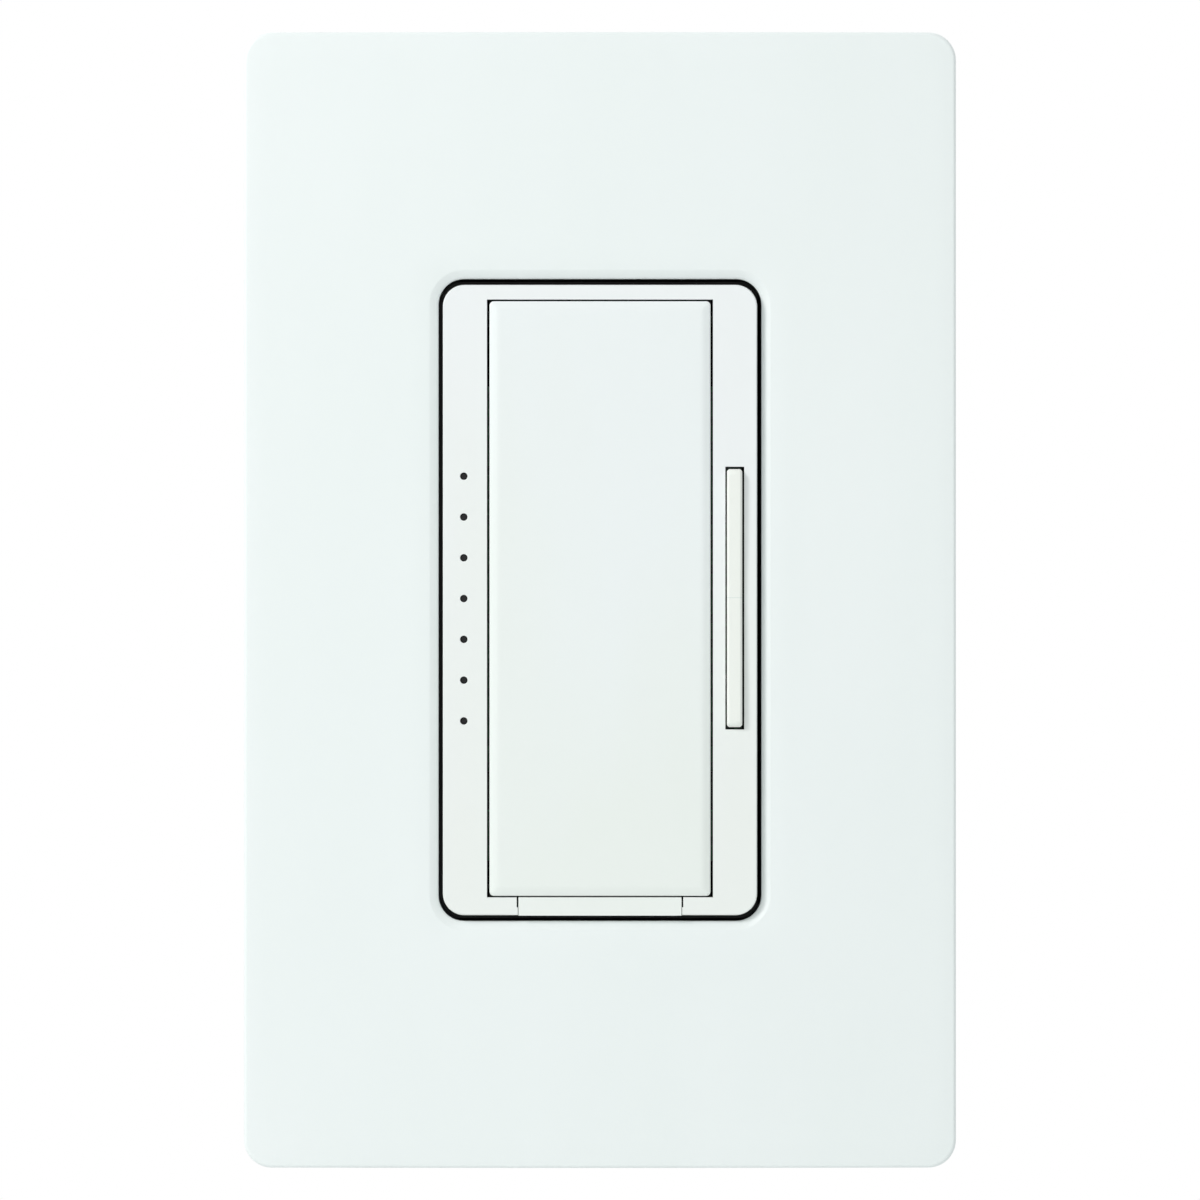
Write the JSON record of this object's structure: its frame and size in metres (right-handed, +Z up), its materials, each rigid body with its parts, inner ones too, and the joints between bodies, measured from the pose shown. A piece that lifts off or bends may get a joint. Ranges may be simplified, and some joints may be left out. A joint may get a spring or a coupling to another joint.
{
  "type": "led dimmer switch",
  "caption": "One-gang wall dimmer with a large tap paddle, slim brighten and dim rocker, level lights, air-gap pull tab and screwless wall plate.",
  "frame": {"origin": "middle of the device on the wall's surface, halfway between the two box screw holes", "axes": "+X to the right of someone facing the switch, +Y into the wall, +Z up"},
  "size_m": [0.0746, 0.0401, 0.119],
  "materials": {
    "plate_plastic": "smooth moulded white, low gloss",
    "adapter_plastic": "moulded white",
    "zinc_steel": "bright zinc plated",
    "strap_aluminium": "punched sheet",
    "green_screw": "green coated",
    "bezel_plastic": "smooth moulded white",
    "paddle_plastic": "smooth moulded white",
    "rocker_plastic": "smooth moulded white",
    "tab_plastic": "smooth moulded white",
    "contact_metal": "spring bronze",
    "led_chip": "small chip, unlit",
    "smoked_plastic": "dark tinted, unlit",
    "circuit_board": "green solder mask",
    "component_black": "moulded black",
    "component_pale": "moulded",
    "spring_steel": "bright sheet",
    "thermal_pad": "filled silicone sheet",
    "ferrite": "pressed powder",
    "copper_wire": "enamelled copper",
    "capacitor_film": "moulded box",
    "capacitor_sleeve": "shrunk sleeve",
    "absorber_coating": "dipped coating",
    "cover_plastic": "fine grained black moulding",
    "brass_screw": "bright brass",
    "black_screw": "black coated",
    "blue_screw": "blue coated",
    "terminal_brass": "stamped brass"
  },
  "bodies": {
    "device": {"wallplate_cover": "plate_plastic", "wallplate_adapter": "adapter_plastic", "adapter_screws": "zinc_steel", "mounting_strap": "strap_aluminium", "ground_screw": "green_screw", "bezel": "bezel_plastic", "service_fixed_contacts": "contact_metal", "status_leds": "led_chip", "light_pipe_bar": "smoked_plastic", "control_board": "circuit_board", "tap_switch": "component_black", "brighten_dome": "spring_steel", "dim_dome": "spring_steel", "microcontroller": "component_black", "board_header": "component_black", "power_board": "circuit_board", "triac_pad": "thermal_pad", "triac": "component_black", "triac_clip": "spring_steel", "choke_core": "ferrite", "choke_winding": "copper_wire", "film_capacitor": "capacitor_film", "filter_capacitor": "capacitor_sleeve", "surge_absorber": "absorber_coating", "back_cover": "cover_plastic", "case_screws": "zinc_steel", "load_terminal_screw": "brass_screw", "hot_terminal_screw": "black_screw", "traveler_terminal_screw": "blue_screw", "terminal_plates": "terminal_brass"},
    "paddle": {"tap_paddle": "paddle_plastic"},
    "tap_plunger": {"tap_switch_plunger": "component_pale"},
    "rocker": {"dim_rocker": "rocker_plastic"},
    "service": {"service_tab": "tab_plastic", "service_contact_bridge": "contact_metal"}
  },
  "joints": [
    {"name": "paddle_hinge", "type": "hinge", "parent": "device", "child": "paddle", "pos_m": [0, -0.0059, 0.0295], "axis": [1, 0, 0], "range_deg": [0, 0.6], "stiffness_Nm_per_rad": 2.5},
    {"name": "tap_plunger_press", "type": "slide", "parent": "device", "child": "tap_plunger", "axis": [0, 1, 0], "range_m": [0, 0.00033]},
    {"name": "rocker_pivot", "type": "hinge", "parent": "device", "child": "rocker", "pos_m": [0.01409, -0.0056, 0.0002], "axis": [1, 0, 0], "range_deg": [-2.2, 2.2], "stiffness_Nm_per_rad": 0.3, "deforming": ["brighten_dome", "dim_dome"]},
    {"name": "service_pull", "type": "slide", "parent": "device", "child": "service", "axis": [0, -1, 0], "range_m": [0, 0.004]}
  ],
  "couplings": [
    {"joint": "tap_plunger_press", "follows": "paddle_hinge", "m_per_rad": 0.0305}
  ]
}
